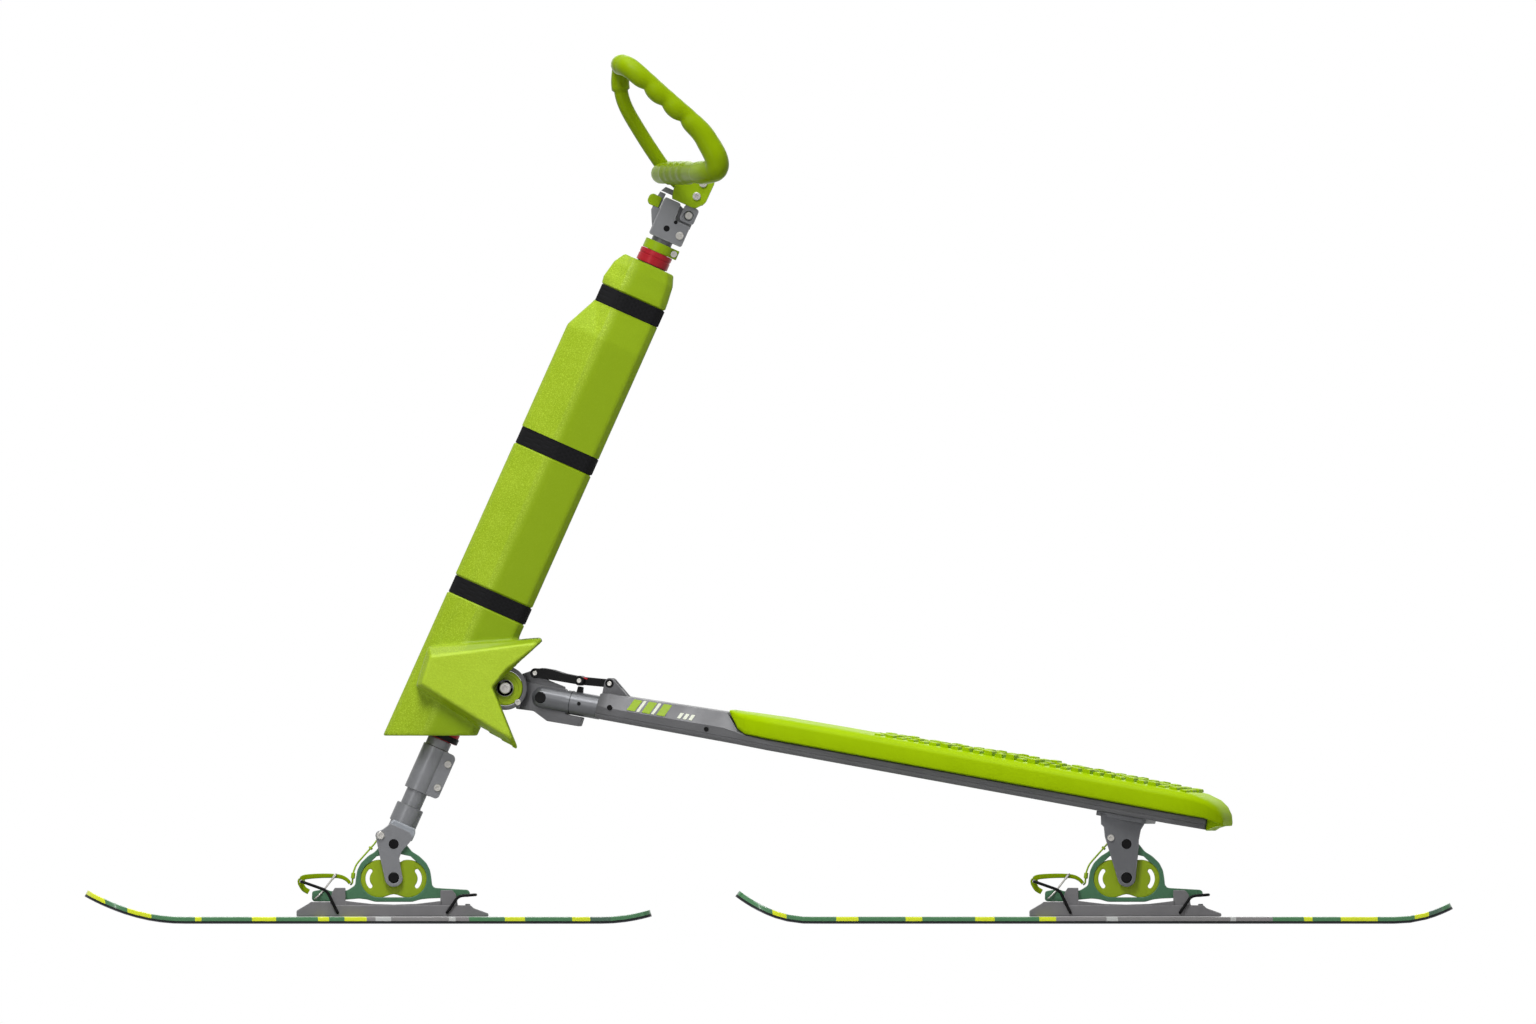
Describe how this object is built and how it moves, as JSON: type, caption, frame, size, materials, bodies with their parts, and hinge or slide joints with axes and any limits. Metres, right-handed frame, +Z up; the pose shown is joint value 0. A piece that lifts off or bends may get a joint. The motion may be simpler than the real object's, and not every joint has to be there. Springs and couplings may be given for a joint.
{
  "type": "snow scooter",
  "caption": "Stand-on snow scooter: leaning steering column in a foam cover, loop handlebar, two folding splayed deck arms and pivoting short skis.",
  "frame": {"origin": "middle of the overall length and width, on the snow", "axes": "+X to the rear along the skis, +Y to the rider's right, +Z up"},
  "size_m": [1.8474, 0.6532, 1.1722],
  "materials": {
    "foam": "moulded foam with a fine speckle",
    "lime_gloss": "smooth gloss moulding",
    "deck_foam": "smooth satin foam with moulded treads",
    "lime_metal": "gloss powder coat",
    "grey_metal": "satin grey anodised",
    "dark_metal": "dark grey satin anodised",
    "black_metal": "black oxide",
    "red_anodised": "red anodised",
    "strap": "black woven webbing",
    "sage": "satin sage moulding and top sheet with yellow blocks",
    "elastomer": "satin moulded rubber",
    "plate_grey": "fine grained grey moulding"
  },
  "bodies": {
    "spine": {"frame_spine": "dark_metal", "foam_cover": "foam", "cover_strap_1": "strap", "cover_strap_2": "strap", "cover_strap_3": "strap", "upper_bearing_ring": "red_anodised", "lower_bearing_ring": "red_anodised"},
    "steering": {"steerer_tube": "grey_metal", "stem_collar": "lime_metal", "stem_housing": "grey_metal", "lower_clamp": "grey_metal", "front_fork": "grey_metal", "front_pivot_pin": "black_metal"},
    "handlebar": {"handlebar_bracket": "lime_metal", "handlebar_loop": "lime_gloss"},
    "stem_latch": {"stem_latch_lever": "lime_metal"},
    "front_ski_set": {"front_ski": "sage", "front_binding_plate": "plate_grey", "front_boot_frame": "sage", "front_elastomer": "elastomer", "front_tether": "deck_foam"},
    "front_toe_bail_set": {"front_toe_bail": "black_metal"},
    "front_toe_lever_set": {"front_toe_lever": "lime_gloss"},
    "front_heel_bail_set": {"front_heel_bail": "black_metal"},
    "left_knuckle_set": {"left_knuckle": "dark_metal", "left_camber_bushing": "elastomer", "left_fold_pin": "black_metal"},
    "left_arm": {"left_arm_tube": "grey_metal", "left_deck_rail": "dark_metal", "left_deck_pad": "deck_foam", "left_ski_hanger": "dark_metal", "left_pivot_pin": "black_metal"},
    "left_front_link_set": {"left_front_link": "black_metal"},
    "left_rear_link_set": {"left_rear_link": "black_metal"},
    "left_ski_set": {"left_ski": "sage", "left_binding_plate": "plate_grey", "left_boot_frame": "sage", "left_elastomer": "elastomer", "left_tether": "deck_foam"},
    "left_toe_bail_set": {"left_toe_bail": "black_metal"},
    "left_toe_lever_set": {"left_toe_lever": "lime_gloss"},
    "left_heel_bail_set": {"left_heel_bail": "black_metal"},
    "right_knuckle_set": {"right_knuckle": "dark_metal", "right_camber_bushing": "elastomer", "right_fold_pin": "black_metal"},
    "right_arm": {"right_arm_tube": "grey_metal", "right_deck_rail": "dark_metal", "right_deck_pad": "deck_foam", "right_ski_hanger": "dark_metal", "right_pivot_pin": "black_metal"},
    "right_front_link_set": {"right_front_link": "black_metal"},
    "right_rear_link_set": {"right_rear_link": "black_metal"},
    "right_ski_set": {"right_ski": "sage", "right_binding_plate": "plate_grey", "right_boot_frame": "sage", "right_elastomer": "elastomer", "right_tether": "deck_foam"},
    "right_toe_bail_set": {"right_toe_bail": "black_metal"},
    "right_toe_lever_set": {"right_toe_lever": "lime_gloss"},
    "right_heel_bail_set": {"right_heel_bail": "black_metal"}
  },
  "joints": [
    {"name": "steer", "type": "hinge", "parent": "spine", "child": "steering", "pos_m": [-0.30298, 0, 0.56447], "axis": [0.4067, 0, 0.9135], "range_deg": [-35, 35]},
    {"name": "handlebar_fold", "type": "hinge", "parent": "steering", "child": "handlebar", "pos_m": [-0.10801, 0, 0.95591], "axis": [0, 1, 0], "range_deg": [0, 110]},
    {"name": "stem_latch_turn", "type": "hinge", "parent": "steering", "child": "stem_latch", "pos_m": [-0.15387, 0, 0.9633], "axis": [0, 1, 0], "range_deg": [-35, 0], "stiffness_Nm_per_rad": 0.03},
    {"name": "front_ski_pitch", "type": "hinge", "parent": "steering", "child": "front_ski_set", "pos_m": [-0.50635, 0, 0.1077], "axis": [0, 1, 0], "range_deg": [-12, 12], "stiffness_Nm_per_rad": 60, "deforming": ["front_elastomer", "front_tether"]},
    {"name": "front_toe_bail_turn", "type": "hinge", "parent": "front_ski_set", "child": "front_toe_bail_set", "pos_m": [-0.58205, 0, 0.015], "axis": [0, 1, 0], "range_deg": [-30, 0]},
    {"name": "front_toe_lever_turn", "type": "hinge", "parent": "front_toe_bail_set", "child": "front_toe_lever_set", "pos_m": [-0.63105, 0, 0.0571], "axis": [0, 1, 0], "range_deg": [-90, 0]},
    {"name": "front_heel_bail_turn", "type": "hinge", "parent": "front_ski_set", "child": "front_heel_bail_set", "pos_m": [-0.43415, 0, 0.0153], "axis": [0, 1, 0], "range_deg": [0, 14]},
    {"name": "left_camber", "type": "hinge", "parent": "spine", "child": "left_knuckle_set", "pos_m": [-0.35601, -0.037, 0.31826], "axis": [0, 1, 0], "range_deg": [-8, 8], "stiffness_Nm_per_rad": 400},
    {"name": "left_arm_fold", "type": "hinge", "parent": "left_knuckle_set", "child": "left_arm", "pos_m": [-0.30414, -0.037, 0.30545], "axis": [0.2588, 0.9659, 0], "range_deg": [-55, 0]},
    {"name": "left_front_link_turn", "type": "hinge", "parent": "left_knuckle_set", "child": "left_front_link_set", "pos_m": [-0.31354, -0.03448, 0.33834], "axis": [0.2588, 0.9659, 0], "range_deg": [-94, 0]},
    {"name": "left_rear_link_turn", "type": "hinge", "parent": "left_arm", "child": "left_rear_link_set", "pos_m": [-0.21275, -0.06149, 0.3243], "axis": [0.2588, 0.9659, 0], "range_deg": [0, 59.5]},
    {"name": "left_ski_pitch", "type": "hinge", "parent": "left_arm", "child": "left_ski_set", "pos_m": [0.48305, -0.24793, 0.1077], "axis": [0, 1, 0], "range_deg": [-12, 12], "stiffness_Nm_per_rad": 60, "deforming": ["left_elastomer", "left_tether"]},
    {"name": "left_toe_bail_turn", "type": "hinge", "parent": "left_ski_set", "child": "left_toe_bail_set", "pos_m": [0.40735, -0.24793, 0.015], "axis": [0, 1, 0], "range_deg": [-30, 0]},
    {"name": "left_toe_lever_turn", "type": "hinge", "parent": "left_toe_bail_set", "child": "left_toe_lever_set", "pos_m": [0.35835, -0.24793, 0.0571], "axis": [0, 1, 0], "range_deg": [-90, 0]},
    {"name": "left_heel_bail_turn", "type": "hinge", "parent": "left_ski_set", "child": "left_heel_bail_set", "pos_m": [0.55525, -0.24793, 0.0153], "axis": [0, 1, 0], "range_deg": [0, 14]},
    {"name": "right_camber", "type": "hinge", "parent": "spine", "child": "right_knuckle_set", "pos_m": [-0.35601, 0.037, 0.31826], "axis": [0, 1, 0], "range_deg": [-8, 8], "stiffness_Nm_per_rad": 400},
    {"name": "right_arm_fold", "type": "hinge", "parent": "right_knuckle_set", "child": "right_arm", "pos_m": [-0.30414, 0.037, 0.30545], "axis": [-0.2588, 0.9659, 0], "range_deg": [-55, 0]},
    {"name": "right_front_link_turn", "type": "hinge", "parent": "right_knuckle_set", "child": "right_front_link_set", "pos_m": [-0.31354, 0.03448, 0.33834], "axis": [-0.2588, 0.9659, 0], "range_deg": [-94, 0]},
    {"name": "right_rear_link_turn", "type": "hinge", "parent": "right_arm", "child": "right_rear_link_set", "pos_m": [-0.21275, 0.06149, 0.3243], "axis": [-0.2588, 0.9659, 0], "range_deg": [0, 59.5]},
    {"name": "right_ski_pitch", "type": "hinge", "parent": "right_arm", "child": "right_ski_set", "pos_m": [0.48305, 0.24793, 0.1077], "axis": [0, 1, 0], "range_deg": [-12, 12], "stiffness_Nm_per_rad": 60, "deforming": ["right_elastomer", "right_tether"]},
    {"name": "right_toe_bail_turn", "type": "hinge", "parent": "right_ski_set", "child": "right_toe_bail_set", "pos_m": [0.40735, 0.24793, 0.015], "axis": [0, 1, 0], "range_deg": [-30, 0]},
    {"name": "right_toe_lever_turn", "type": "hinge", "parent": "right_toe_bail_set", "child": "right_toe_lever_set", "pos_m": [0.35835, 0.24793, 0.0571], "axis": [0, 1, 0], "range_deg": [-90, 0]},
    {"name": "right_heel_bail_turn", "type": "hinge", "parent": "right_ski_set", "child": "right_heel_bail_set", "pos_m": [0.55525, 0.24793, 0.0153], "axis": [0, 1, 0], "range_deg": [0, 14]}
  ],
  "couplings": [
    {"joint": "right_camber", "follows": "left_camber", "ratio": -1},
    {"joint": "front_toe_lever_turn", "follows": "front_toe_bail_turn", "ratio": 3},
    {"joint": "left_front_link_turn", "follows": "left_arm_fold", "ratio": 1.6991},
    {"joint": "left_rear_link_turn", "follows": "left_arm_fold", "ratio": -1.0729},
    {"joint": "left_toe_lever_turn", "follows": "left_toe_bail_turn", "ratio": 3},
    {"joint": "right_front_link_turn", "follows": "right_arm_fold", "ratio": 1.6991},
    {"joint": "right_rear_link_turn", "follows": "right_arm_fold", "ratio": -1.0729},
    {"joint": "right_toe_lever_turn", "follows": "right_toe_bail_turn", "ratio": 3}
  ]
}
